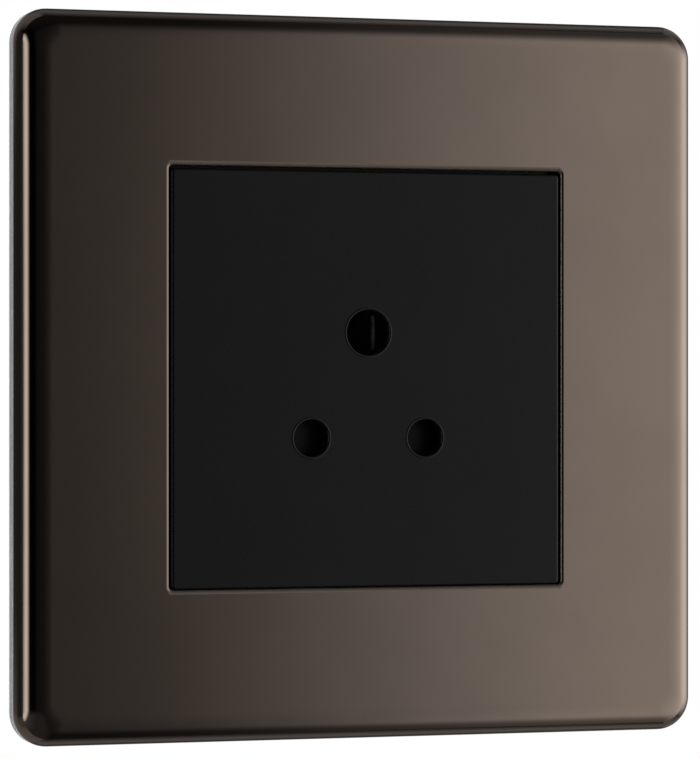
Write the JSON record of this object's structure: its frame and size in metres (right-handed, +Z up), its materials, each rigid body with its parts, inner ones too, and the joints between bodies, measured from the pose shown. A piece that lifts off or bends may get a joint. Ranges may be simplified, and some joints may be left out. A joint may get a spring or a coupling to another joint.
{
  "type": "round pin wall socket",
  "caption": "Unswitched round pin wall socket with a clip-on dark metal plate, a black insert, an internal sliding shutter, brass contacts and rear screw terminals.",
  "frame": {"origin": "middle of the square plate, on the wall plane", "axes": "+Z up the wall, +Y into the wall, the face looks along -Y"},
  "size_m": [0.0874, 0.029, 0.0874],
  "materials": {
    "black_nickel": "polished black nickel plating",
    "clear_plastic": "clear moulded polycarbonate",
    "grey_plastic": "moulded nylon",
    "black_plastic": "fine satin moulding",
    "base_plastic": "moulded thermoset",
    "brass": "bare brass",
    "bronze": "phosphor bronze strip",
    "zinc_steel": "zinc plated",
    "spring_steel": "drawn wire"
  },
  "bodies": {
    "body": {"front_plate": "black_nickel", "clip_frame": "grey_plastic", "mounting_frame": "clear_plastic", "socket_face": "black_plastic", "shutter_spring": "spring_steel", "shutter_bed": "black_plastic", "base_moulding": "base_plastic", "live_contact": "brass", "neutral_contact": "brass", "earth_contact": "brass", "live_terminal": "brass", "neutral_terminal": "brass", "earth_terminal": "brass", "terminal_screws": "zinc_steel", "earth_strap": "bronze", "body_screws": "zinc_steel", "fixing_screws": "zinc_steel"},
    "shutter": {"shutter": "black_plastic"}
  },
  "joints": [
    {"name": "shutter_slide", "type": "slide", "parent": "body", "child": "shutter", "axis": [1, 0, 0], "range_m": [0, 0.0054], "stiffness_N_per_m": 60, "springref_m": -0.004, "deforming": ["shutter_spring"]}
  ]
}
